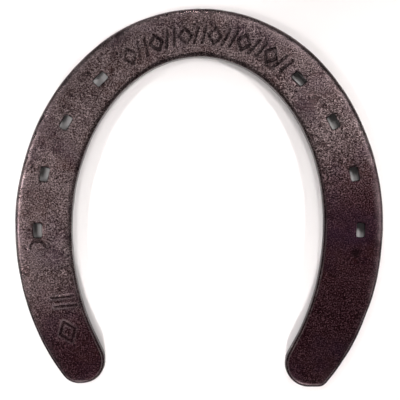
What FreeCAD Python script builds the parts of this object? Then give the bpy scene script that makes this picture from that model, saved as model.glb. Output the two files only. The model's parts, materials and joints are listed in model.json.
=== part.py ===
"""Plain fullered horseshoe, one forging, drawn lying flat with its hoof side up.

Millimetres. The toe points along +Y, the heels lie at -Y, the ground side is z = 0. Every size
is a cell of the sheet `sizes`. What follows from several sizes is worked out once, in the
variable set `layout`, and the sketches and features are bound to one or the other.
"""
import FreeCAD
import Part
import Sketcher
import math
import os

doc = FreeCAD.newDocument("horseshoe")
Vector = FreeCAD.Vector

# ---------------------------------------------------------------- driving sizes

SIZES = {
    # bar and outline
    "thickness": 8.0,            # bar depth, ground side to hoof side
    "shoe_width": 124.6,         # widest, outer edge to outer edge
    "shoe_length": 128.0,        # toe to heels
    "toe_reach": 73.4,           # from the line of greatest width forward to the toe
    "heel_spread": 85.0,         # outer edge to outer edge along the line of the heels
    "web_toe": 16.4,             # width of the bar at the toe
    "web_quarter": 19.6,         # width of the bar at the widest line
    "web_heel": 19.7,            # level width of the bar where its inner edge turns straight
    "heel_straight": 18.0,       # how far above the heels that is
    "inner_shift": 0.4,          # the opening sits this far toward the -X branch
    "heel_skew": 0.9,            # the +X heel is cut this much shorter
    "opening_overrun": 2.0,      # the cut for the opening runs on this far past the heels
    # rounded corners and edges
    "heel_inner_radius": 8.0,    # inner corner of each heel, seen from above
    "heel_outer_radius": 6.5,    # outer corner of the -X heel
    "heel_blunt_radius": 3.5,    # outer corner of the +X heel, left squarer
    "heel_inner_share": 0.74,    # the most of the heel's width that the inner round may take
    "heel_outer_share": 0.22,    # and the outer round
    "hoof_edge_radius": 1.5,     # along the edge of the hoof side
    "ground_edge_radius": 1.2,   # along the edge of the ground side
    # fullering crease in the ground side
    "crease_inset": 8.1,         # outer edge to the middle of the crease, at the widest line
    "crease_drift": 2.0,         # how much further in the crease would run at the toe
    "crease_mouth": 6.6,         # width at the ground side
    "crease_floor": 4.2,         # width at the bottom
    "crease_depth": 4.6,
    "crease_lead": 13.0,         # past the middle of the first nail hole, toward the toe
    "crease_tail": 14.0,         # past the middle of the last nail hole, toward the heel
    # nail holes, measured along the outer edge from the middle of the toe
    "nail_first": 44.9,
    "nail_pitch": 21.2,
    "nail_shift": 1.6,           # both rows sit this far round toward the -X branch
    "nail_lean_toe": 0.1,        # how far in the first nail comes out at the hoof side
    "nail_lean_heel": -0.5,      # the last one comes out this much further out instead
    "nail_top_across": 2.8,      # hole at the hoof side, across the bar
    "nail_top_along": 4.6,       # and along it
    "nail_base_across": 3.4,     # hole where its sides meet the ground side
    "nail_base_along": 6.4,
}
NAILS_PER_BRANCH = 4

sizes = doc.addObject("Spreadsheet::Sheet", "sizes")
for row, (alias, value) in enumerate(SIZES.items(), start=1):
    sizes.set("A%d" % row, alias)
    sizes.set("B%d" % row, str(value))
    sizes.setAlias("B%d" % row, alias)
doc.recompute()

# ---------------------------------------------------------------- what follows from them

layout = doc.addObject("App::VarSet", "layout")


def derive(name, formula):
    """Adds one worked-out value to the variable set, bound to the cells it comes from."""
    layout.addProperty("App::PropertyFloat", name)
    layout.setExpression(name, formula)
    doc.recompute()


# The outline is a half ellipse round the toe and a quarter ellipse down each branch. They share
# a centre on the widest line. The opening is the same with straight runs to the heels.
derive("half_width", "sizes.shoe_width / 2")
derive("toe_y", "sizes.shoe_length / 2")
derive("widest_y", "toe_y - sizes.toe_reach")
derive("heel_y", "-sizes.shoe_length / 2")
derive("short_heel_y", "heel_y + sizes.heel_skew")
derive("heel_reach", "sizes.shoe_length - sizes.toe_reach")
derive("outer_heel_axis", "heel_reach / sqrt(1 - (sizes.heel_spread / sizes.shoe_width) ^ 2)")
derive("inner_half_width", "half_width - sizes.web_quarter")
derive("inner_toe_axis", "sizes.toe_reach - sizes.web_toe")
derive("straight_y", "heel_y + sizes.heel_straight")
derive("straight_reach", "widest_y - straight_y")
derive("outer_at_straight", "half_width * sqrt(1 - (straight_reach / outer_heel_axis) ^ 2)")
derive("inner_at_straight", "outer_at_straight - sizes.web_heel")
derive("inner_heel_axis",
       "straight_reach / sqrt(1 - (inner_at_straight / inner_half_width) ^ 2)")

# Sideways run per millimetre of fall of the two edges at the heel, the level width left between
# them there, and the largest corner rounds that this width can carry.
derive("inner_slope",
       "inner_half_width ^ 2 * straight_reach / (inner_heel_axis ^ 2 * inner_at_straight)")
derive("outer_slope",
       "half_width ^ 2 * heel_reach / (outer_heel_axis ^ 2 * sizes.heel_spread / 2)")
derive("heel_land",
       "sizes.heel_spread / 2 - inner_at_straight + inner_slope * sizes.heel_straight")
derive("inner_round", "min(sizes.heel_inner_radius;"
                      " sizes.heel_inner_share * heel_land"
                      " * (sqrt(1 + inner_slope ^ 2) - inner_slope))")
derive("outer_round_left", "min(sizes.heel_outer_radius;"
                           " sizes.heel_outer_share * heel_land"
                           " * (sqrt(1 + outer_slope ^ 2) + outer_slope))")
derive("outer_round_right", "min(sizes.heel_blunt_radius; outer_round_left)")

# The ellipse angle, counted from the toe, of a point so many millimetres round the outer edge.
derive("mean_axis", "(half_width + sizes.toe_reach) / 2")
derive("axis_bias", "(sizes.toe_reach - half_width) / (4 * mean_axis)")


def ellipse_angle(distance):
    """Formula in degrees for the ellipse angle at a distance round the outer edge."""
    turn = "(%s) / layout.mean_axis" % distance
    return "180 / pi * (%s + layout.axis_bias * sin(2 * %s * 1 rad))" % (turn, turn)


# ---------------------------------------------------------------- sketch helpers

body = doc.addObject("PartDesign::Body", "horseshoe")
body.Label = "horseshoe"
ORIGIN = -1                      # a sketch's number for its own origin
START, END, CENTRE = 1, 2, 3     # and for the points of a curve
LEVEL = 1e-6                     # two heights closer than this are the same


def flat_sketch(name):
    """A sketch on the ground plane of the body."""
    ground = [item for item in body.Origin.OriginFeatures if item.Role == "XY_Plane"][0]
    sketch = body.newObject("Sketcher::SketchObject", name)
    sketch.AttachmentSupport = [(ground, "")]
    sketch.MapMode = "FlatFace"
    return sketch


def value_of(formula):
    """The present value of a formula, for placing geometry near its final place."""
    return float(layout.evalExpression(formula))


def bind(sketch, kind, where, formula):
    """Adds a dimension and binds it to a formula."""
    number = sketch.addConstraint(Sketcher.Constraint(kind, *where, value_of(formula)))
    sketch.setExpression("Constraints[%d]" % number, formula)


def place_point(sketch, curve, point, along_x=None, along_y=None):
    """Ties one coordinate, or both, of a curve's point to formulas."""
    if along_x is not None:
        bind(sketch, "DistanceX", (ORIGIN, 1, curve, point), along_x)
    if along_y is not None:
        bind(sketch, "DistanceY", (ORIGIN, 1, curve, point), along_y)


def join(sketch, curve, point, other, other_point):
    sketch.addConstraint(Sketcher.Constraint("Coincident", curve, point, other, other_point))


def ellipse_arc(sketch, centre, reach_x, reach_y, start, end, set_width=True, like=None):
    """Part of an ellipse whose axes lie along X and Y, between two angles from the toe.

    centre, reach_x and reach_y are formulas, the angles are degrees, positive toward +X. With
    `like` the centre is that of an earlier arc. With set_width False the width follows from
    whatever the arc is joined to.
    """
    middle = Vector(value_of(centre[0]), value_of(centre[1]), 0)
    tip_x = middle + Vector(-value_of(reach_x), 0, 0)
    tip_y = middle + Vector(0, value_of(reach_y), 0)
    tall = value_of(reach_y) >= value_of(reach_x)
    if tall:
        ellipse = Part.Ellipse(tip_y, tip_x, middle)
        quarter = 0
    else:
        ellipse = Part.Ellipse(tip_x, tip_y, middle)
        quarter = 90
    span = (math.radians(-end - quarter), math.radians(-start - quarter))
    arc = sketch.addGeometry(Part.ArcOfEllipse(ellipse, *span), False)
    sketch.exposeInternalGeometry(arc)
    major, minor = arc + 1, arc + 2
    upright, level = (major, minor) if tall else (minor, major)
    if like is None:
        place_point(sketch, arc, CENTRE, *centre)
    else:
        join(sketch, arc, CENTRE, like, CENTRE)
    sketch.addConstraint(Sketcher.Constraint("Vertical", upright))
    bind(sketch, "Distance", (upright,), "2 * (%s)" % reach_y)
    if set_width:
        bind(sketch, "Distance", (level,), "2 * (%s)" % reach_x)
    return arc


def line(sketch, begin, finish):
    return sketch.addGeometry(Part.LineSegment(begin, finish), False)


def curve_point(sketch, curve, point):
    """Where a curve's start or end lies."""
    geometry = sketch.Geometry[curve]
    return geometry.StartPoint if point == START else geometry.EndPoint


def checked(feature, before, change):
    """Recomputes and makes sure that a feature changed the volume the way it should."""
    doc.recompute()
    after = feature.Shape.Volume
    if change * (after - before) <= 0:
        raise RuntimeError("%s changed the volume from %.1f to %.1f"
                           % (feature.Name, before, after))
    return after


# ---------------------------------------------------------------- blank: the outer outline

outline = flat_sketch("outer_outline")
centre = ("0", "layout.widest_y")
heel_angle = 90 + math.degrees(math.asin(layout.heel_reach / layout.outer_heel_axis))
toe = ellipse_arc(outline, centre, "layout.half_width", "sizes.toe_reach", -90, 90)
right = ellipse_arc(outline, centre, "layout.half_width", "layout.outer_heel_axis",
                    90, heel_angle, set_width=False, like=toe)
left = ellipse_arc(outline, centre, "layout.half_width", "layout.outer_heel_axis",
                   -heel_angle, -90, set_width=False, like=toe)
# Arcs run anticlockwise: the toe arc from +X to -X, the branch arcs on from heel or to heel.
for point in (START, END):
    place_point(outline, toe, point, along_y="layout.widest_y")
join(outline, right, END, toe, START)
join(outline, left, START, toe, END)
place_point(outline, right, START, along_y="layout.short_heel_y")
place_point(outline, left, END, along_y="layout.heel_y")
heel_line = line(outline, curve_point(outline, left, END), curve_point(outline, right, START))
join(outline, heel_line, START, left, END)
join(outline, heel_line, END, right, START)

blank = body.newObject("PartDesign::Pad", "blank")
blank.Profile = outline
blank.setExpression("Length", "sizes.thickness")
volume = checked(blank, 0, +1)

# ---------------------------------------------------------------- the opening of the U

opening = flat_sketch("opening_outline")
centre = ("-sizes.inner_shift", "layout.widest_y")
turn_angle = 90 + math.degrees(math.asin(layout.straight_reach / layout.inner_heel_axis))
toe = ellipse_arc(opening, centre, "layout.inner_half_width", "layout.inner_toe_axis", -90, 90)
right = ellipse_arc(opening, centre, "layout.inner_half_width", "layout.inner_heel_axis",
                    90, turn_angle, set_width=False, like=toe)
left = ellipse_arc(opening, centre, "layout.inner_half_width", "layout.inner_heel_axis",
                   -turn_angle, -90, set_width=False, like=toe)
for point in (START, END):
    place_point(opening, toe, point, along_y="layout.widest_y")
join(opening, right, END, toe, START)
join(opening, left, START, toe, END)
place_point(opening, right, START, along_y="layout.straight_y")
place_point(opening, left, END, along_y="layout.straight_y")
# The straight runs leave the arcs tangentially and go on past the heels.
past_heel = "layout.heel_y - sizes.opening_overrun"
runs = []
for arc, arc_end, side in ((right, START, 1), (left, END, -1)):
    begin = curve_point(opening, arc, arc_end)
    fall = begin.y - value_of(past_heel)
    finish = begin - Vector(side * fall * layout.inner_slope, fall, 0)
    run = line(opening, begin, finish)
    opening.addConstraint(Sketcher.Constraint("Tangent", run, START, arc, arc_end))
    place_point(opening, run, END, along_y=past_heel)
    runs.append(run)
closing = line(opening, curve_point(opening, runs[0], END), curve_point(opening, runs[1], END))
join(opening, closing, START, runs[0], END)
join(opening, closing, END, runs[1], END)
doc.recompute()

gap = body.newObject("PartDesign::Pocket", "opening")
gap.Profile = opening
gap.Type = "ThroughAll"
gap.Reversed = True              # the sketch lies on the ground side, so the cut goes up
volume = checked(gap, volume, -1)

# ---------------------------------------------------------------- rounded heels and edges


def upright_corner(near):
    """Name of the upright edge of the body nearest to a point."""
    def distance(number):
        edge = body.Tip.Shape.Edges[number]
        return edge.CenterOfMass.distanceToPoint(near)

    uprights = [number for number, edge in enumerate(body.Tip.Shape.Edges)
                if abs(edge.BoundBox.ZLength - edge.Length) < LEVEL]
    return "Edge%d" % (min(uprights, key=distance) + 1)


def round_off(name, edges, radius):
    """Fillets some edges of the body's latest feature, with a radius bound to a formula."""
    base = body.Tip
    fillet = body.newObject("PartDesign::Fillet", name)
    fillet.Base = (base, edges)
    fillet.Radius = value_of(radius)
    fillet.setExpression("Radius", radius)
    doc.recompute()


def heel_corner(side, edge):
    """Middle of the inner or outer upright edge of a heel, side +1 for the +X branch."""
    across = SIZES["heel_spread"] / 2
    if edge == "inner":
        across -= layout.heel_land
    floor = layout.short_heel_y if side > 0 else layout.heel_y
    return Vector(side * across, floor, SIZES["thickness"] / 2)


round_off("heel_inner_left", [upright_corner(heel_corner(-1, "inner"))], "layout.inner_round")
round_off("heel_inner_right", [upright_corner(heel_corner(1, "inner"))], "layout.inner_round")
round_off("heel_outer_left", [upright_corner(heel_corner(-1, "outer"))],
          "layout.outer_round_left")
round_off("heel_outer_right", [upright_corner(heel_corner(1, "outer"))],
          "layout.outer_round_right")


def rim(height):
    """Names of all the edges that lie level at a height."""
    return ["Edge%d" % (number + 1) for number, edge in enumerate(body.Tip.Shape.Edges)
            if abs(edge.BoundBox.ZMin - height) < LEVEL and edge.BoundBox.ZLength < LEVEL]


round_off("hoof_edge", rim(SIZES["thickness"]), "sizes.hoof_edge_radius")
round_off("ground_edge", rim(0.0), "sizes.ground_edge_radius")
volume = body.Tip.Shape.Volume

# ---------------------------------------------------------------- fullering crease

SIDES = {"right": 1, "left": -1}


def crease_outline(name, side, width, height):
    """The closed outline of a crease at one depth: two arcs each side and two rounded ends."""
    sign = SIDES[side]
    first_nail = "sizes.nail_first - %d * sizes.nail_shift" % sign
    last_nail = "%s + %d * sizes.nail_pitch" % (first_nail, NAILS_PER_BRANCH - 1)
    begin = ellipse_angle("%s - sizes.crease_lead" % first_nail)
    finish = ellipse_angle("%s + sizes.crease_tail" % last_nail)
    sketch = flat_sketch(name)
    sketch.setExpression("AttachmentOffset.Base.z", height)
    middle = ("0", "layout.widest_y")
    walls = []
    for share in ("+", "-"):
        inset = "(sizes.crease_inset - %s / 2)" % width
        if share == "-":
            inset = "(sizes.crease_inset + %s / 2)" % width
        reach_x = "layout.half_width - %s" % inset
        toe_axis = "sizes.toe_reach - sizes.crease_drift - %s" % inset
        heel_axis = "layout.outer_heel_axis - %s" % inset
        angles = sorted((sign * value_of(begin), sign * 90))
        front = ellipse_arc(sketch, middle, reach_x, toe_axis, *angles)
        angles = sorted((sign * 90, sign * value_of(finish)))
        back = ellipse_arc(sketch, middle, reach_x, heel_axis, *angles, set_width=False)
        near, far = (END, START) if sign > 0 else (START, END)
        place_point(sketch, front, far, along_y="layout.widest_y")
        join(sketch, back, near, front, far)
        place_point(sketch, front, near,
                    along_x="%d * (%s) * sin(%s)" % (sign, reach_x, begin))
        place_point(sketch, back, far,
                    along_y="layout.widest_y + (%s) * cos(%s)" % (heel_axis, finish))
        walls.append((front, back))
    for which, point in ((0, near), (1, far)):
        outer_wall, inner_wall = walls[0][which], walls[1][which]
        outer = curve_point(sketch, outer_wall, point)
        inner = curve_point(sketch, inner_wall, point)
        # Arcs run anticlockwise, so the cap starts outside where that leads away from the crease.
        starts_outside = (which == 0) == (sign > 0)
        first, last = (outer, inner) if starts_outside else (inner, outer)
        circle = Part.Circle((outer + inner) * 0.5, Vector(0, 0, 1), (outer - inner).Length / 2)
        turn = math.atan2(first.y - last.y, first.x - last.x)
        cap = sketch.addGeometry(Part.ArcOfCircle(circle, turn, turn + math.pi), False)
        cap_outer, cap_inner = (START, END) if starts_outside else (END, START)
        join(sketch, cap, cap_inner, inner_wall, point)
        sketch.addConstraint(Sketcher.Constraint("Tangent", cap, cap_outer, outer_wall, point))
    doc.recompute()
    return sketch


for side in SIDES:
    mouth = crease_outline("crease_mouth_" + side, side, "sizes.crease_mouth", "0")
    floor = crease_outline("crease_floor_" + side, side, "sizes.crease_floor",
                           "sizes.crease_depth")
    crease = body.newObject("PartDesign::SubtractiveLoft", "crease_" + side)
    crease.Profile = mouth
    crease.Sections = [floor]
    crease.Ruled = True
    volume = checked(crease, volume, -1)

# ---------------------------------------------------------------- nail holes


def nail_section(name, side, number, lean, across, along, height):
    """A rectangle for one nail hole, in a frame whose X points straight out of the shoe.

    The frame stands on the outer edge of the shoe at the nail's place, and the rectangle is
    centred on the crease, or further in by the lean.
    """
    sign = SIDES[side]
    distance = ("%d * (sizes.nail_first + %d * sizes.nail_pitch) - sizes.nail_shift"
                % (sign, number))
    angle = ellipse_angle(distance)
    sketch = flat_sketch(name)
    # A turn of zero has no axis to keep, so the offset starts from some turn about Z.
    some_turn = FreeCAD.Rotation(Vector(0, 0, 1), 45)
    sketch.AttachmentOffset = FreeCAD.Placement(Vector(), some_turn)
    sketch.setExpression("AttachmentOffset.Base.x", "layout.half_width * sin(%s)" % angle)
    sketch.setExpression("AttachmentOffset.Base.y",
                         "layout.widest_y + sizes.toe_reach * cos(%s)" % angle)
    sketch.setExpression("AttachmentOffset.Base.z", height)
    sketch.setExpression("AttachmentOffset.Rotation.Angle",
                         "atan2(layout.half_width * cos(%s); sizes.toe_reach * sin(%s))"
                         % (angle, angle))
    inset = "(sizes.crease_inset + sizes.crease_drift * cos(%s) ^ 2 + %s)" % (angle, lean)
    middle = -value_of(inset)
    half_x = value_of(across) / 2
    half_y = value_of(along) / 2
    corners = [Vector(middle - half_x, -half_y, 0), Vector(middle + half_x, -half_y, 0),
               Vector(middle + half_x, half_y, 0), Vector(middle - half_x, half_y, 0)]
    for first in range(4):
        line(sketch, corners[first], corners[(first + 1) % 4])
    for first in range(4):
        join(sketch, first, END, (first + 1) % 4, START)
    for side_line, kind in enumerate(("Horizontal", "Vertical", "Horizontal", "Vertical")):
        sketch.addConstraint(Sketcher.Constraint(kind, side_line))
    bind(sketch, "DistanceX", (0, START, 0, END), across)
    bind(sketch, "DistanceY", (1, START, 1, END), along)
    place_point(sketch, 0, START, "-%s - %s / 2" % (inset, across), "-%s / 2" % along)
    doc.recompute()
    return sketch


for side in SIDES:
    for number in range(NAILS_PER_BRANCH):
        share = number / (NAILS_PER_BRANCH - 1)
        lean = ("(sizes.nail_lean_toe + (sizes.nail_lean_heel - sizes.nail_lean_toe) * %s)"
                % share)
        label = "%s_%d" % (side, number + 1)
        base = nail_section("nail_base_" + label, side, number, "0",
                            "sizes.nail_base_across", "sizes.nail_base_along", "0")
        top = nail_section("nail_top_" + label, side, number, lean,
                           "sizes.nail_top_across", "sizes.nail_top_along", "sizes.thickness")
        hole = body.newObject("PartDesign::SubtractiveLoft", "nail_hole_" + label)
        hole.Profile = base
        hole.Sections = [top]
        hole.Ruled = True
        volume = checked(hole, volume, -1)

# ---------------------------------------------------------------- check and export

doc.recompute()
for item in doc.Objects:
    if "Invalid" in item.State or "Error" in item.State:
        raise RuntimeError("%s did not compute: %s" % (item.Name, item.State))
shape = body.Tip.Shape
if shape.isNull() or not shape.isValid() or len(shape.Solids) != 1:
    raise RuntimeError("horseshoe is not one valid solid")

os.makedirs("parts", exist_ok=True)
body.Shape.exportStep("parts/%s.step" % body.Label)
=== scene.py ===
import bpy
import bmesh
import json
import math
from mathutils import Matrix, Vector


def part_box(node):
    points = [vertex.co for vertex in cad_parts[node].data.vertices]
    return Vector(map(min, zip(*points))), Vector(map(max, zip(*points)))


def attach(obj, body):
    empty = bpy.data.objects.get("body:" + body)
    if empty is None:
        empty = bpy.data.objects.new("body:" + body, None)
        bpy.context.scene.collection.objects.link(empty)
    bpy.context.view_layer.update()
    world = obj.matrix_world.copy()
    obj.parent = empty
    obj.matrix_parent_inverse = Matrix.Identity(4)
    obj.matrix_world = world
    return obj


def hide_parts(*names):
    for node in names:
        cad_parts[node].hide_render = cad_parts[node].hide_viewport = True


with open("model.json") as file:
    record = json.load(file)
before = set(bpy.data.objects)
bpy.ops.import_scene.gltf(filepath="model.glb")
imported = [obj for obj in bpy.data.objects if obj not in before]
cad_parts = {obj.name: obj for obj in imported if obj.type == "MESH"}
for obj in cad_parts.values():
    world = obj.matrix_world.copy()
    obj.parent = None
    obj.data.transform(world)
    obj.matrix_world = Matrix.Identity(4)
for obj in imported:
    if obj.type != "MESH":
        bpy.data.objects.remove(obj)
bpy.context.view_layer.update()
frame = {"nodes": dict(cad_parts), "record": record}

# ---------------------------------------------------------------- camera
# Straight above the shoe, far enough back that the bar's walls hardly show, and turned a little
# so that the toe leans to the right.
low, high = (Vector(corner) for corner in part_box("horseshoe"))
shoe_centre = (low + high) / 2
HOOF_SIDE = high.z

EYE_HEIGHT = 0.62            # metres above the hoof side
VIEW_WIDTH = 0.1352          # metres seen across the picture at the hoof side
SENSOR = 36.0                # millimetres
OFF_CENTRE = Vector((0.0001, -0.0009))  # metres from the shoe's middle to the camera's axis
TOE_LEAN = 1.44              # degrees that the picture is turned
camera_data = bpy.data.cameras.new("camera")
camera_data.sensor_width = SENSOR
camera_data.lens = SENSOR * EYE_HEIGHT / VIEW_WIDTH
camera = bpy.data.objects.new("camera", camera_data)
camera.location = (*(shoe_centre.xy + OFF_CENTRE), HOOF_SIDE + EYE_HEIGHT)
camera.rotation_euler = (0.0, 0.0, math.radians(TOE_LEAN))
bpy.context.collection.objects.link(camera)
bpy.context.scene.camera = camera
bpy.context.scene.view_settings.view_transform = "Standard"

# ---------------------------------------------------------------- floor and light
# A plain matt board under three soft boxes, nearly overhead, whose gloss falls on the left side,
# the toe and the upper right. Gridded fills from all four sides whiten the board round the shoe.


def linear(hex_colour):
    """An sRGB colour written as six hex digits, as linear red, green, blue and alpha."""
    channels = [int(hex_colour[i:i + 2], 16) / 255 for i in (0, 2, 4)]
    curved = [c / 12.92 if c <= 0.04045 else ((c + 0.055) / 1.055) ** 2.4 for c in channels]
    return (*curved, 1.0)


def add(tree, kind, inputs=None, **settings):
    """Adds a node with its settings. An input is a plain value, or a socket or node to link."""
    node = tree.nodes.new(kind)
    for name, value in settings.items():
        setattr(node, name, value)
    for key, value in (inputs or {}).items():
        if isinstance(value, bpy.types.Node):
            value = next(socket for socket in value.outputs if socket.enabled)
        if isinstance(value, bpy.types.NodeSocket):
            tree.links.new(value, node.inputs[key])
        else:
            node.inputs[key].default_value = value
    return node


# Matt white card: no gloss to speak of, and a tone that is never quite even.
board = bpy.data.materials.new("matt_white_card")
board.use_nodes = True
board_shader = board.node_tree.nodes["Principled BSDF"]
board_shader.inputs["Roughness"].default_value = 0.9
board_shader.inputs["Specular IOR Level"].default_value = 0.1
coordinates = add(board.node_tree, "ShaderNodeTexCoord")
mottle = add(board.node_tree, "ShaderNodeTexNoise",
             {"Vector": coordinates.outputs["Object"], "Scale": 12.0, "Detail": 3.0})
# A Mix node has one set of sockets for each data type: 6 and 7 are its two colours.
tone = add(board.node_tree, "ShaderNodeMix",
           {"Factor": mottle.outputs["Fac"], 6: linear("F3EDEC"), 7: linear("F8F3F2")},
           data_type="RGBA")
board.node_tree.links.new(tone.outputs["Result"], board_shader.inputs["Base Color"])

FLOOR_HALF = 3.0             # metres from the middle of the board to a side
FLOOR_GAP = 0.00005          # metres between the board and the shoe, so that they don't share a plane
ROOM_LIGHT = 0.34            # strength of the grey room round it all
floor_mesh = bpy.data.meshes.new("floor")
floor_corners = [(-FLOOR_HALF, -FLOOR_HALF, 0), (FLOOR_HALF, -FLOOR_HALF, 0),
                 (FLOOR_HALF, FLOOR_HALF, 0), (-FLOOR_HALF, FLOOR_HALF, 0)]
floor_mesh.from_pydata(floor_corners, [], [(0, 1, 2, 3)])
floor_mesh.materials.append(board)
floor = bpy.data.objects.new("floor", floor_mesh)
floor.location.z = low.z - FLOOR_GAP
bpy.context.collection.objects.link(floor)


def soft_box(name, place, side, watts, aim=shoe_centre, cone=180.0):
    """A square area light, in metres and watts. A grid holds its light to a cone, in degrees."""
    data = bpy.data.lights.new(name, "AREA")
    data.size = side
    data.energy = watts
    data.spread = math.radians(cone)
    lamp = bpy.data.objects.new(name, data)
    lamp.location = place
    toward = Vector(aim) - Vector(place)
    lamp.rotation_euler = toward.to_track_quat("-Z", "Y").to_euler()
    lamp.visible_camera = False
    bpy.context.collection.objects.link(lamp)


soft_box("left_box", (-0.092, -0.012, 0.26), side=0.05, watts=0.190)
soft_box("right_box", (0.090, 0.064, 0.26), side=0.03, watts=0.190)
soft_box("toe_box", (0.026, 0.100, 0.26), side=0.05, watts=0.120)
soft_box("left_fill", (-0.30, 0.0, 0.30), side=0.08, watts=0.040,
         aim=(-0.100, 0.0, 0.0), cone=22.0)
soft_box("right_fill", (0.30, -0.02, 0.30), side=0.03, watts=0.030,
         aim=(0.092, 0.01, 0.0), cone=30.0)
soft_box("heel_fill", (0.0, -0.33, 0.30), side=0.03, watts=0.055,
         aim=(0.0, -0.100, 0.0), cone=28.0)
soft_box("toe_fill", (-0.03, 0.33, 0.30), side=0.03, watts=0.026,
         aim=(-0.03, 0.125, 0.0), cone=22.0)

world = bpy.data.worlds.new("studio")
world.use_nodes = True
room = world.node_tree.nodes["Background"]
room.inputs["Color"].default_value = linear("F4F4F4")
room.inputs["Strength"].default_value = ROOM_LIGHT
bpy.context.scene.world = world

# ---------------------------------------------------------------- the forged shoe
# One length of flat mild steel bar, forged round hot, with a fullering crease rolled into the
# ground side of each branch. The nail holes are punched from the creases. Nothing is fixed to it.

# Its body is rebuilt as one even skin over the solid, fine enough to carry the scale's relief.
SKIN_CELL = 0.00036          # metres between the skin's points
SKIN_TRIANGLES = 188000      # in all, once the ground side and the walls are thinned
THINNED_BELOW = 0.0016       # metres under the hoof side where the thinning begins


def bake(piece):
    """Replaces an object's mesh by its evaluated one and drops the modifiers."""
    bpy.context.view_layer.update()
    evaluated = piece.evaluated_get(bpy.context.evaluated_depsgraph_get())
    mesh = bpy.data.meshes.new_from_object(evaluated)
    piece.modifiers.clear()
    piece.data = mesh


# The solid's triangles are loose, so a copy of them is merged before it is remeshed.
skin_mesh = frame["nodes"]["horseshoe"].data.copy()
merged = bmesh.new()
merged.from_mesh(skin_mesh)
bmesh.ops.remove_doubles(merged, verts=merged.verts, dist=1e-6)
merged.to_mesh(skin_mesh)
merged.free()
shoe = bpy.data.objects.new("forged_shoe", skin_mesh)
bpy.context.collection.objects.link(shoe)
remesh = shoe.modifiers.new("even_skin", "REMESH")
remesh.mode = "VOXEL"
remesh.voxel_size = SKIN_CELL
bake(shoe)

# The hoof side keeps every point. The ground side and the walls are thinned.
thinned = shoe.vertex_groups.new(name="thinned")
below = [v.index for v in shoe.data.vertices if v.co.z < HOOF_SIDE - THINNED_BELOW]
thinned.add(below, 1.0, "REPLACE")
thin = shoe.modifiers.new("thin", "DECIMATE")
thin.vertex_group = "thinned"
thin.ratio = min(1.0, SKIN_TRIANGLES / (2 * len(shoe.data.polygons)))
bake(shoe)

# Its finish is the steel's own: mill scale, the thin black oxide that hot work leaves, flaked and
# pressed back in by the rolls. It looks brown-violet to black, half dull and half metallic, with
# a fine grain, lighter along the edges where the scale has broken away and where highlights are
# painted, and with painted shade toward the heels and in its hollows.
MM = 1000.0                  # a pattern's scale is this over its size in millimetres
GRAIN_MM = 0.45              # real grains of scale are 0.1 to 0.3 mm; drawn so coarse that they show
DARKER_WAY = (0.45, -0.90, 0.0)        # the way to the +X heel, toward which the colour darkens as painted shade
DARKENING_SPAN = (0.003, 0.036)     # metres that way over which the painted shade and the duller scale come in
steel = bpy.data.materials.new("forged_mild_steel_mill_scale")
steel.use_nodes = True
tree = steel.node_tree
shader = tree.nodes["Principled BSDF"]
shader.inputs["Metallic"].default_value = 1.0
where = add(tree, "ShaderNodeTexCoord").outputs["Object"]

blotch = add(tree, "ShaderNodeTexNoise",
             {"Vector": where, "Scale": MM / 6.0, "Detail": 4.0, "Roughness": 0.65})
blotch = add(tree, "ShaderNodeMapRange", {"Value": blotch, "From Min": 0.34, "From Max": 0.66})
colour = add(tree, "ShaderNodeMix",
             {"Factor": blotch, 6: linear("271B1B"), 7: linear("463B3B")}, data_type="RGBA")

# Toward the heels, the +X one most of all, the scale is duller and the colour darker: the darkening
# is painted shade where the lamps' gloss falls away.
toward_heel = add(tree, "ShaderNodeVectorMath", {0: where, 1: DARKER_WAY},
                  operation="DOT_PRODUCT").outputs["Value"]
toward_heel = add(tree, "ShaderNodeMath", {0: blotch, 1: 0.008, 2: toward_heel},
                  operation="MULTIPLY_ADD")
thick_scale_and_shade = add(tree, "ShaderNodeMapRange",
            {"Value": toward_heel, "From Min": DARKENING_SPAN[0], "From Max": DARKENING_SPAN[1], "To Max": 0.80},
            interpolation_type="SMOOTHSTEP")
# This mix paints the shade toward the heels into the colour.
colour = add(tree, "ShaderNodeMix",
             {"Factor": thick_scale_and_shade, 6: colour, 7: linear("15050B")}, data_type="RGBA")

# Some grains are paler, fewer under the painted shade toward the heels, and others are dark.
grain = add(tree, "ShaderNodeTexNoise",
            {"Vector": where, "Scale": MM / GRAIN_MM, "Detail": 2.0, "Roughness": 0.6})
light_grain = add(tree, "ShaderNodeMapRange",
                  {"Value": grain, "From Min": 0.52, "From Max": 0.68, "To Max": 0.52})
lit_share = add(tree, "ShaderNodeMath", {0: thick_scale_and_shade, 1: -0.74, 2: 1.0}, operation="MULTIPLY_ADD")
light_grain = add(tree, "ShaderNodeMath", {0: light_grain, 1: lit_share}, operation="MULTIPLY")
colour = add(tree, "ShaderNodeMix", {"Factor": light_grain, 6: colour, 7: linear("867777")},
             data_type="RGBA")
dark_grain = add(tree, "ShaderNodeMapRange",
                 {"Value": grain, "From Min": 0.50, "From Max": 0.36, "To Max": 0.92})
colour = add(tree, "ShaderNodeMix", {"Factor": dark_grain, 6: colour, 7: linear("060303")},
             data_type="RGBA")

# The painted shade toward the heels is also redder, grain and all.
colour = add(tree, "ShaderNodeMix", {"Factor": thick_scale_and_shade, 6: colour, 7: linear("FAC8D9")},
             data_type="RGBA", blend_type="MULTIPLY")

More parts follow.
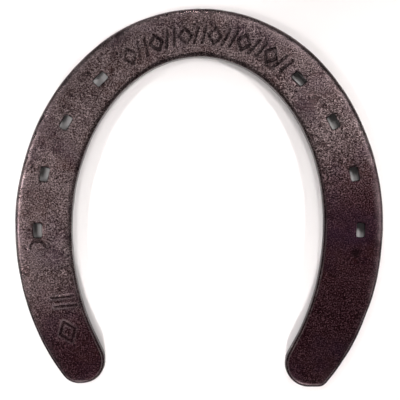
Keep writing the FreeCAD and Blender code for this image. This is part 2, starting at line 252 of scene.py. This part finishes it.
# A bloom of rust here and there, and the violet of oxide that cooled slowly.
rust = add(tree, "ShaderNodeTexNoise",
           {"Vector": where, "W": 5.0, "Scale": MM / 11.0, "Detail": 5.0, "Roughness": 0.7},
           noise_dimensions="4D")
rust = add(tree, "ShaderNodeMapRange",
           {"Value": rust, "From Min": 0.52, "From Max": 0.74, "To Max": 0.45})
colour = add(tree, "ShaderNodeMix", {"Factor": rust, 6: colour, 7: linear("2A1611")},
             data_type="RGBA")
violet = add(tree, "ShaderNodeTexNoise",
             {"Vector": where, "W": 9.0, "Scale": MM / 17.0, "Detail": 3.0},
             noise_dimensions="4D")
violet = add(tree, "ShaderNodeMapRange",
             {"Value": violet, "From Min": 0.50, "From Max": 0.68, "To Max": 0.40})
colour = add(tree, "ShaderNodeMix", {"Factor": violet, 6: colour, 7: linear("1F1421")},
             data_type="RGBA")

# Pits, punched strokes and the dent are darkened, painted shade in the hollows. Edges are paler,
# partly rubbed steel and partly painted highlight.
hollow_shade = add(tree, "ShaderNodeAttribute", attribute_name="hollow_shade").outputs["Fac"]
colour = add(tree, "ShaderNodeMix", {"Factor": hollow_shade, 6: colour, 7: linear("0A0506")},
             data_type="RGBA")
wear_and_highlight = add(tree, "ShaderNodeAttribute", attribute_name="wear_and_highlight").outputs["Fac"]
# Paler colour on edges and burrs: partly rubbed steel, partly painted highlight.
colour = add(tree, "ShaderNodeMix", {"Factor": wear_and_highlight, 6: colour, 7: linear("A08E90")},
             data_type="RGBA")
tree.links.new(colour.outputs["Result"], shader.inputs["Base Color"])

# Thick scale is duller, and rubbed edges are glossier. The bump is grain too fine for the skin.
rough = add(tree, "ShaderNodeMapRange", {"Value": blotch, "To Min": 0.26, "To Max": 0.35})
rough = add(tree, "ShaderNodeMath", {0: thick_scale_and_shade, 1: 0.18, 2: rough}, operation="MULTIPLY_ADD")
rough = add(tree, "ShaderNodeMath", {0: wear_and_highlight, 1: -0.10, 2: rough}, operation="MULTIPLY_ADD")
tree.links.new(rough.outputs["Value"], shader.inputs["Roughness"])

soft_grain = add(tree, "ShaderNodeTexNoise",
                 {"Vector": where, "Scale": MM / GRAIN_MM, "Detail": 2.0})
bump = add(tree, "ShaderNodeBump", {"Height": soft_grain, "Strength": 1.0, "Distance": 0.00004})
bump = add(tree, "ShaderNodeBump",
           {"Height": grain, "Normal": bump, "Strength": 1.0, "Distance": 0.00007})
tree.links.new(bump.outputs["Normal"], shader.inputs["Normal"])

# Its marks and relief. While the bar is hot the maker strikes a row of marks round the toe and
# three larger ones on the -X branch, here a plain ornament of lozenges, paired bars and an arc.
# Rolling and forging leave the faces slightly wavy, the scale pits them, and each punched hole
# raises a low rim.
ROW_REACH = (0.0520, 0.0645, 1.0)       # half axes of the ellipse that the row stands on
ROW_CENTRE = (0.0, -0.0094, HOOF_SIDE)  # its middle, level with the widest part of the shoe
ROW_SPAN = (0.171, 0.3225)              # shares of the way round; the toe is at 0.25
# Each larger mark's punch, its x and y, and how many degrees it is turned.
BRANCH_MARKS = (("arc", -0.0540, -0.0197, 12.0), ("bars", -0.0450, -0.0363, 112.0),
                ("lozenge", -0.0435, -0.0465, 24.0))
BRANCH_MARK_SCALE = 1.25     # times the size of a mark in the row
BAR_SPREAD = 0.30            # a bar's place and lean, as shares of a mark's width
BAR_LEAN = 0.18
DENT = (0.0531, -0.0177, HOOF_SIDE)     # where a tool slipped, behind the last +X nail hole
# Metres from the middle of the dent or of a nail hole: where each starts, and where it is full.
DENT_REACH = (0.0022, 0.0008)
RIM_REACH = (0.0050, 0.0030)
DIP_REACH = (0.0031, 0.0018)
PLAIN_NEAR_HOLE_REACH = (0.0065, 0.0045)       # no paler edge, rubbed or painted highlight, so near to a hole
BAND_BLUR = 40               # rounds of blur that widen the rolled edge into a band

relief = bpy.data.node_groups.new("forged_relief", "GeometryNodeTree")
relief.interface.new_socket("Geometry", in_out="INPUT", socket_type="NodeSocketGeometry")
relief.interface.new_socket("Geometry", in_out="OUTPUT", socket_type="NodeSocketGeometry")
RELIEF_SIZES = {
    "Mark Count": 12,
    "Mark Tall": 0.0057, "Mark Wide": 0.0043, "Mark Depth": 0.00050, "Stroke Half": 0.00062,
    "Wave Height": 0.00012, "Swell Height": 0.00007, "Pit Depth": 0.00011,
    "Grain Height": 0.00004, "Dent Depth": 0.00036, "Rim Height": 0.00003,
    "Edge Fall": 0.00010, "Seed": 4.0,
}
for label, size in RELIEF_SIZES.items():
    kind = "NodeSocketInt" if isinstance(size, int) else "NodeSocketFloat"
    relief.interface.new_socket(label, in_out="INPUT", socket_type=kind)
given = add(relief, "NodeGroupInput").outputs

# The strokes, as bare edges at the height of the hoof side.
circle = add(relief, "GeometryNodeCurvePrimitiveCircle", {"Resolution": 128, "Radius": 1.0})
row = add(relief, "GeometryNodeTransform",
          {"Geometry": circle, "Translation": ROW_CENTRE, "Scale": ROW_REACH})
row = add(relief, "GeometryNodeTrimCurve",
          {"Curve": row, "Start": ROW_SPAN[0], "End": ROW_SPAN[1]})
row = add(relief, "GeometryNodeResampleCurve", {"Curve": row, "Count": given["Mark Count"]})
index = add(relief, "GeometryNodeInputIndex")
turned = add(relief, "FunctionNodeAlignRotationToVector",
             {"Vector": add(relief, "GeometryNodeInputTangent")}, axis="X")
mark_size = add(relief, "ShaderNodeCombineXYZ",
                {"X": given["Mark Wide"], "Y": given["Mark Tall"], "Z": 1.0})
diamond = add(relief, "GeometryNodeCurvePrimitiveCircle", {"Resolution": 4, "Radius": 0.5})
pair = add(relief, "GeometryNodeJoinGeometry")
for side in (-1, 1):
    bar = add(relief, "GeometryNodeCurvePrimitiveLine",
              {"Start": (side * BAR_SPREAD - BAR_LEAN, -0.5, 0.0),
               "End": (side * BAR_SPREAD + BAR_LEAN, 0.5, 0.0)})
    relief.links.new(bar.outputs["Curve"], pair.inputs["Geometry"])
punches = {"lozenge": diamond, "bars": pair}

# The row takes the punches in turn from the rack, each set square to the row.
rack = add(relief, "GeometryNodeJoinGeometry")
for name, shape in punches.items():
    punches[name] = add(relief, "GeometryNodeTransform", {"Geometry": shape, "Scale": mark_size})
    held = add(relief, "GeometryNodeGeometryToInstance", {"Geometry": punches[name]})
    relief.links.new(held.outputs["Instances"], rack.inputs["Geometry"])
row = add(relief, "GeometryNodeInstanceOnPoints",
          {"Points": row, "Instance": rack, "Pick Instance": True, "Instance Index": index,
           "Rotation": turned})

# The larger marks. The arc is struck only there, so it isn't on the rack.
arc = add(relief, "GeometryNodeCurveArc",
          {"Resolution": 12, "Radius": 0.5, "Start Angle": 0.4, "Sweep Angle": 2.3})
punches["arc"] = add(relief, "GeometryNodeTransform", {"Geometry": arc, "Scale": mark_size})
all_marks = add(relief, "GeometryNodeJoinGeometry", {"Geometry": row})
for name, x, y, turn in BRANCH_MARKS:
    mark = add(relief, "GeometryNodeTransform",
               {"Geometry": punches[name], "Translation": (x, y, HOOF_SIDE),
                "Rotation": (0.0, 0.0, math.radians(turn)), "Scale": (BRANCH_MARK_SCALE,) * 3})
    relief.links.new(mark.outputs["Geometry"], all_marks.inputs["Geometry"])
strokes = add(relief, "GeometryNodeRealizeInstances", {"Geometry": all_marks})
strokes = add(relief, "GeometryNodeCurveToMesh", {"Curve": strokes})
from_stroke = add(relief, "GeometryNodeProximity", {"Geometry": strokes},
                  target_element="EDGES").outputs["Distance"]

# A stroke is deepest along its middle, and pushes up a low burr beside it. No blow is even.
point = add(relief, "GeometryNodeInputPosition")
blow = add(relief, "ShaderNodeTexNoise", {"Vector": point, "W": given["Seed"],
                                          "Scale": MM / 7.0, "Detail": 2.0},
           noise_dimensions="4D")
blow = add(relief, "ShaderNodeMapRange",
           {"Value": blow, "From Min": 0.38, "From Max": 0.58, "To Min": 0.75, "To Max": 1.0})
pressed = add(relief, "ShaderNodeMapRange",
              {"Value": from_stroke, "From Min": given["Stroke Half"], "From Max": 0.0001},
              interpolation_type="SMOOTHSTEP")
pressed = add(relief, "ShaderNodeMath", {0: pressed, 1: blow}, operation="MULTIPLY")
burr_reach = add(relief, "ShaderNodeMath", {0: given["Stroke Half"], 1: 2.1},
                 operation="MULTIPLY")
burr = add(relief, "ShaderNodeMapRange",
           {"Value": from_stroke, "From Min": burr_reach, "From Max": given["Stroke Half"],
            "To Max": 0.38}, interpolation_type="SMOOTHSTEP")
burr = add(relief, "ShaderNodeMath", {0: burr, 1: blow}, operation="MULTIPLY")
raised = add(relief, "ShaderNodeMath", {0: burr, 1: pressed}, operation="SUBTRACT")
lift = add(relief, "ShaderNodeMath", {0: raised, 1: given["Mark Depth"]}, operation="MULTIPLY")

# The mouth of each nail hole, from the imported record: a low rim round it that dips to the hole.
mouths = add(relief, "GeometryNodeJoinGeometry")
for mount in frame["record"]["mounts"]:
    if mount["name"].startswith("nail_hole"):
        crease = Vector(mount["pos_m"])
        mouth = crease - (HOOF_SIDE - crease.z) * Vector(mount["axis"])
        dot = add(relief, "GeometryNodePoints", {"Count": 1, "Position": mouth})
        relief.links.new(dot.outputs["Geometry"], mouths.inputs["Geometry"])
from_mouth = add(relief, "GeometryNodeProximity", {"Geometry": mouths},
                 target_element="POINTS").outputs["Distance"]
rim = add(relief, "ShaderNodeMapRange",
          {"Value": from_mouth, "From Min": RIM_REACH[0], "From Max": RIM_REACH[1]},
          interpolation_type="SMOOTHSTEP")
dip = add(relief, "ShaderNodeMapRange",
          {"Value": from_mouth, "From Min": DIP_REACH[0], "From Max": DIP_REACH[1],
           "To Max": 1.6}, interpolation_type="SMOOTHSTEP")
rim = add(relief, "ShaderNodeMath", {0: rim, 1: dip}, operation="SUBTRACT")
lift = add(relief, "ShaderNodeMath", {0: rim, 1: given["Rim Height"], 2: lift},
           operation="MULTIPLY_ADD")

# The slip of a tool behind the last +X hole: one small round dent.
from_dent = add(relief, "ShaderNodeVectorMath", {0: point, 1: DENT},
                operation="DISTANCE").outputs["Value"]
dent = add(relief, "ShaderNodeMapRange",
           {"Value": from_dent, "From Min": DENT_REACH[0], "From Max": DENT_REACH[1]},
           interpolation_type="SMOOTHSTEP")
dent_depth = add(relief, "ShaderNodeMath", {0: dent, 1: given["Dent Depth"]},
                 operation="MULTIPLY")
lift = add(relief, "ShaderNodeMath", {0: lift, 1: dent_depth}, operation="SUBTRACT")

# Rolled edges are paler, partly rubbed steel and partly painted highlight, most of all at the heels,
# and the face just inside them is smoother.
facing = add(relief, "ShaderNodeSeparateXYZ", {"Vector": add(relief, "GeometryNodeInputNormal")})
edge = add(relief, "ShaderNodeMapRange",
           {"Value": facing.outputs["Z"], "From Min": 0.97, "From Max": 0.80},
           interpolation_type="SMOOTHSTEP")
band = add(relief, "GeometryNodeBlurAttribute", {0: edge, "Iterations": BAND_BLUR})
band = add(relief, "ShaderNodeMapRange", {"Value": band, "From Min": 0.02, "From Max": 0.45})
fall = add(relief, "ShaderNodeMath", {0: band, 1: given["Edge Fall"]}, operation="MULTIPLY")
lift = add(relief, "ShaderNodeMath", {0: lift, 1: fall}, operation="SUBTRACT")
under = add(relief, "ShaderNodeMapRange",
            {"Value": facing.outputs["Z"], "From Min": 0.80, "From Max": 0.90},
            interpolation_type="SMOOTHSTEP")
wear_highlight_noise = add(relief, "ShaderNodeTexNoise", {"Vector": point, "W": given["Seed"],
                                         "Scale": MM / 5.0, "Detail": 3.0},
          noise_dimensions="4D")
ahead = add(relief, "ShaderNodeSeparateXYZ", {"Vector": point})
ahead = add(relief, "ShaderNodeMapRange",
            {"Value": ahead.outputs["Y"], "From Min": -0.045, "From Max": 0.005,
             "To Min": 0.1, "To Max": 0.8}, interpolation_type="SMOOTHSTEP")
behind = add(relief, "ShaderNodeMath", {0: 1.0, 1: ahead}, operation="SUBTRACT")
edge_wear_highlight = add(relief, "ShaderNodeMapRange",
               {"Value": wear_highlight_noise, "From Min": 0.38, "From Max": 0.56, "To Min": 0.3, "To Max": 1.0})
# Paler edges: partly rubbed steel, partly painted highlight.
wear_and_highlight = add(relief, "ShaderNodeMath", {0: edge, 1: under}, operation="MULTIPLY")
wear_and_highlight = add(relief, "ShaderNodeMath", {0: wear_and_highlight, 1: behind}, operation="MULTIPLY")
wear_and_highlight = add(relief, "ShaderNodeMath", {0: wear_and_highlight, 1: edge_wear_highlight}, operation="MULTIPLY")

# The outer band is paler as well, most of all on the front half, and so are the burrs at the heel:
# rubbed steel and painted highlight.
from_middle = add(relief, "ShaderNodeVectorMath",
                  {0: point, 1: (0.0, ROW_CENTRE[1], 0.0)}, operation="SUBTRACT")
from_middle = add(relief, "ShaderNodeVectorMath", {0: from_middle, 1: ROW_REACH},
                  operation="DIVIDE")
flat = add(relief, "ShaderNodeVectorMath", {0: from_middle, 1: (1.0, 1.0, 0.0)},
           operation="MULTIPLY")
flat = add(relief, "ShaderNodeVectorMath", {0: flat}, operation="LENGTH").outputs["Value"]
outside = add(relief, "ShaderNodeMapRange", {"Value": flat, "From Min": 1.00, "From Max": 1.06})
band_wear_highlight = add(relief, "ShaderNodeMapRange",
               {"Value": wear_highlight_noise, "From Min": 0.40, "From Max": 0.62, "To Min": 0.1, "To Max": 0.35})
outer_wear_highlight = add(relief, "ShaderNodeMath", {0: band, 1: outside}, operation="MULTIPLY")
outer_wear_highlight = add(relief, "ShaderNodeMath", {0: outer_wear_highlight, 1: ahead}, operation="MULTIPLY")
outer_wear_highlight = add(relief, "ShaderNodeMath", {0: outer_wear_highlight, 1: band_wear_highlight}, operation="MULTIPLY")
burr_wear_highlight = add(relief, "ShaderNodeMapRange",
               {"Value": raised, "From Min": 0.04, "From Max": 0.35, "To Max": 0.20})
burr_wear_highlight = add(relief, "ShaderNodeMath", {0: burr_wear_highlight, 1: behind}, operation="MULTIPLY")
burr_wear_highlight = add(relief, "ShaderNodeMath", {0: burr_wear_highlight, 1: edge_wear_highlight}, operation="MULTIPLY")
for more_wear_highlight in (outer_wear_highlight, burr_wear_highlight):
    wear_and_highlight = add(relief, "ShaderNodeMath", {0: wear_and_highlight, 1: more_wear_highlight}, operation="MAXIMUM")
away = add(relief, "ShaderNodeMapRange",
           {"Value": from_mouth, "From Min": PLAIN_NEAR_HOLE_REACH[1], "From Max": PLAIN_NEAR_HOLE_REACH[0]})
wear_and_highlight = add(relief, "ShaderNodeMath", {0: wear_and_highlight, 1: away}, operation="MULTIPLY")

# Waviness, swells, pits in patches, and the grain of the scale.
uneven = []
for size_mm, height in ((14.0, "Wave Height"), (3.5, "Swell Height"), (0.9, "Grain Height")):
    noise = add(relief, "ShaderNodeTexNoise", {"Vector": point, "W": given["Seed"],
                                               "Scale": MM / size_mm, "Detail": 1.0},
                noise_dimensions="4D")
    centred = add(relief, "ShaderNodeMapRange",
                  {"Value": noise, "From Min": 0.25, "From Max": 0.75, "To Min": -1.0})
    uneven.append(add(relief, "ShaderNodeMath", {0: centred, 1: given[height]},
                      operation="MULTIPLY"))
cells = add(relief, "ShaderNodeTexVoronoi", {"Vector": point, "W": given["Seed"],
                                             "Scale": MM / 1.7}, voronoi_dimensions="4D")
pit = add(relief, "ShaderNodeMapRange",
          {"Value": cells.outputs["Distance"], "From Min": 0.52, "From Max": 0.12},
          interpolation_type="SMOOTHSTEP")
patch = add(relief, "ShaderNodeTexNoise", {"Vector": point, "W": given["Seed"],
                                           "Scale": MM / 9.0, "Detail": 2.0},
            noise_dimensions="4D")
patch = add(relief, "ShaderNodeMapRange",
            {"Value": patch, "From Min": 0.40, "From Max": 0.60, "To Min": 0.15, "To Max": 1.0})
pit = add(relief, "ShaderNodeMath", {0: pit, 1: patch}, operation="MULTIPLY")
smoother = add(relief, "ShaderNodeMapRange", {"Value": band, "To Min": 1.0, "To Max": 0.35})
pit = add(relief, "ShaderNodeMath", {0: pit, 1: smoother}, operation="MULTIPLY")
swell = add(relief, "ShaderNodeMath", {0: uneven[1], 1: uneven[2]}, operation="ADD")
swell = add(relief, "ShaderNodeMath", {0: swell, 1: smoother, 2: uneven[0]},
            operation="MULTIPLY_ADD")
pit_depth = add(relief, "ShaderNodeMath", {0: pit, 1: given["Pit Depth"]}, operation="MULTIPLY")
along_normal = add(relief, "ShaderNodeMath", {0: swell, 1: pit_depth}, operation="SUBTRACT")

# What the finish needs to know is kept on the points. Then the points move, but never so low
# that they sink into what the shoe rests on.
# Painted shade: the colour is darkened in the pits, the strokes and the dent.
hollow_shade = add(relief, "ShaderNodeMath", {0: pit, 1: 0.45}, operation="MULTIPLY")
for hollow in (pressed, dent):
    hollow_shade = add(relief, "ShaderNodeMath", {0: hollow_shade, 1: hollow}, operation="MAXIMUM")
hollow_shade = add(relief, "ShaderNodeMath", {0: hollow_shade, 1: 0.72}, operation="MULTIPLY")
skin = given["Geometry"]
for name, value in (("hollow_shade", hollow_shade), ("wear_and_highlight", wear_and_highlight)):
    skin = add(relief, "GeometryNodeStoreNamedAttribute",
               {"Geometry": skin, "Name": name, "Value": value})
swelling = add(relief, "ShaderNodeVectorMath",
               {0: add(relief, "GeometryNodeInputNormal"), "Scale": along_normal},
               operation="SCALE")
struck_down = add(relief, "ShaderNodeCombineXYZ", {"Z": lift})
offset = add(relief, "ShaderNodeVectorMath", {0: swelling, 1: struck_down}, operation="ADD")
skin = add(relief, "GeometryNodeSetPosition", {"Geometry": skin, "Offset": offset})
floor_level = add(relief, "ShaderNodeVectorMath", {0: point, 1: (-1.0, -1.0, low.z)},
                  operation="MAXIMUM")
skin = add(relief, "GeometryNodeSetPosition", {"Geometry": skin, "Position": floor_level})
skin = add(relief, "GeometryNodeRealizeInstances", {"Geometry": skin})
skin = add(relief, "GeometryNodeSetMaterial", {"Geometry": skin, "Material": steel})
skin = add(relief, "GeometryNodeSetShadeSmooth", {"Geometry": skin})
add(relief, "NodeGroupOutput", {"Geometry": skin})

forging = shoe.modifiers.new("forged_relief", "NODES")
forging.node_group = relief
for item in relief.interface.items_tree:
    if item.in_out == "INPUT" and item.name in RELIEF_SIZES:
        forging[item.identifier] = RELIEF_SIZES[item.name]
bake(shoe)
shoe.vertex_groups.clear()

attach(shoe, "root")
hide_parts("horseshoe")
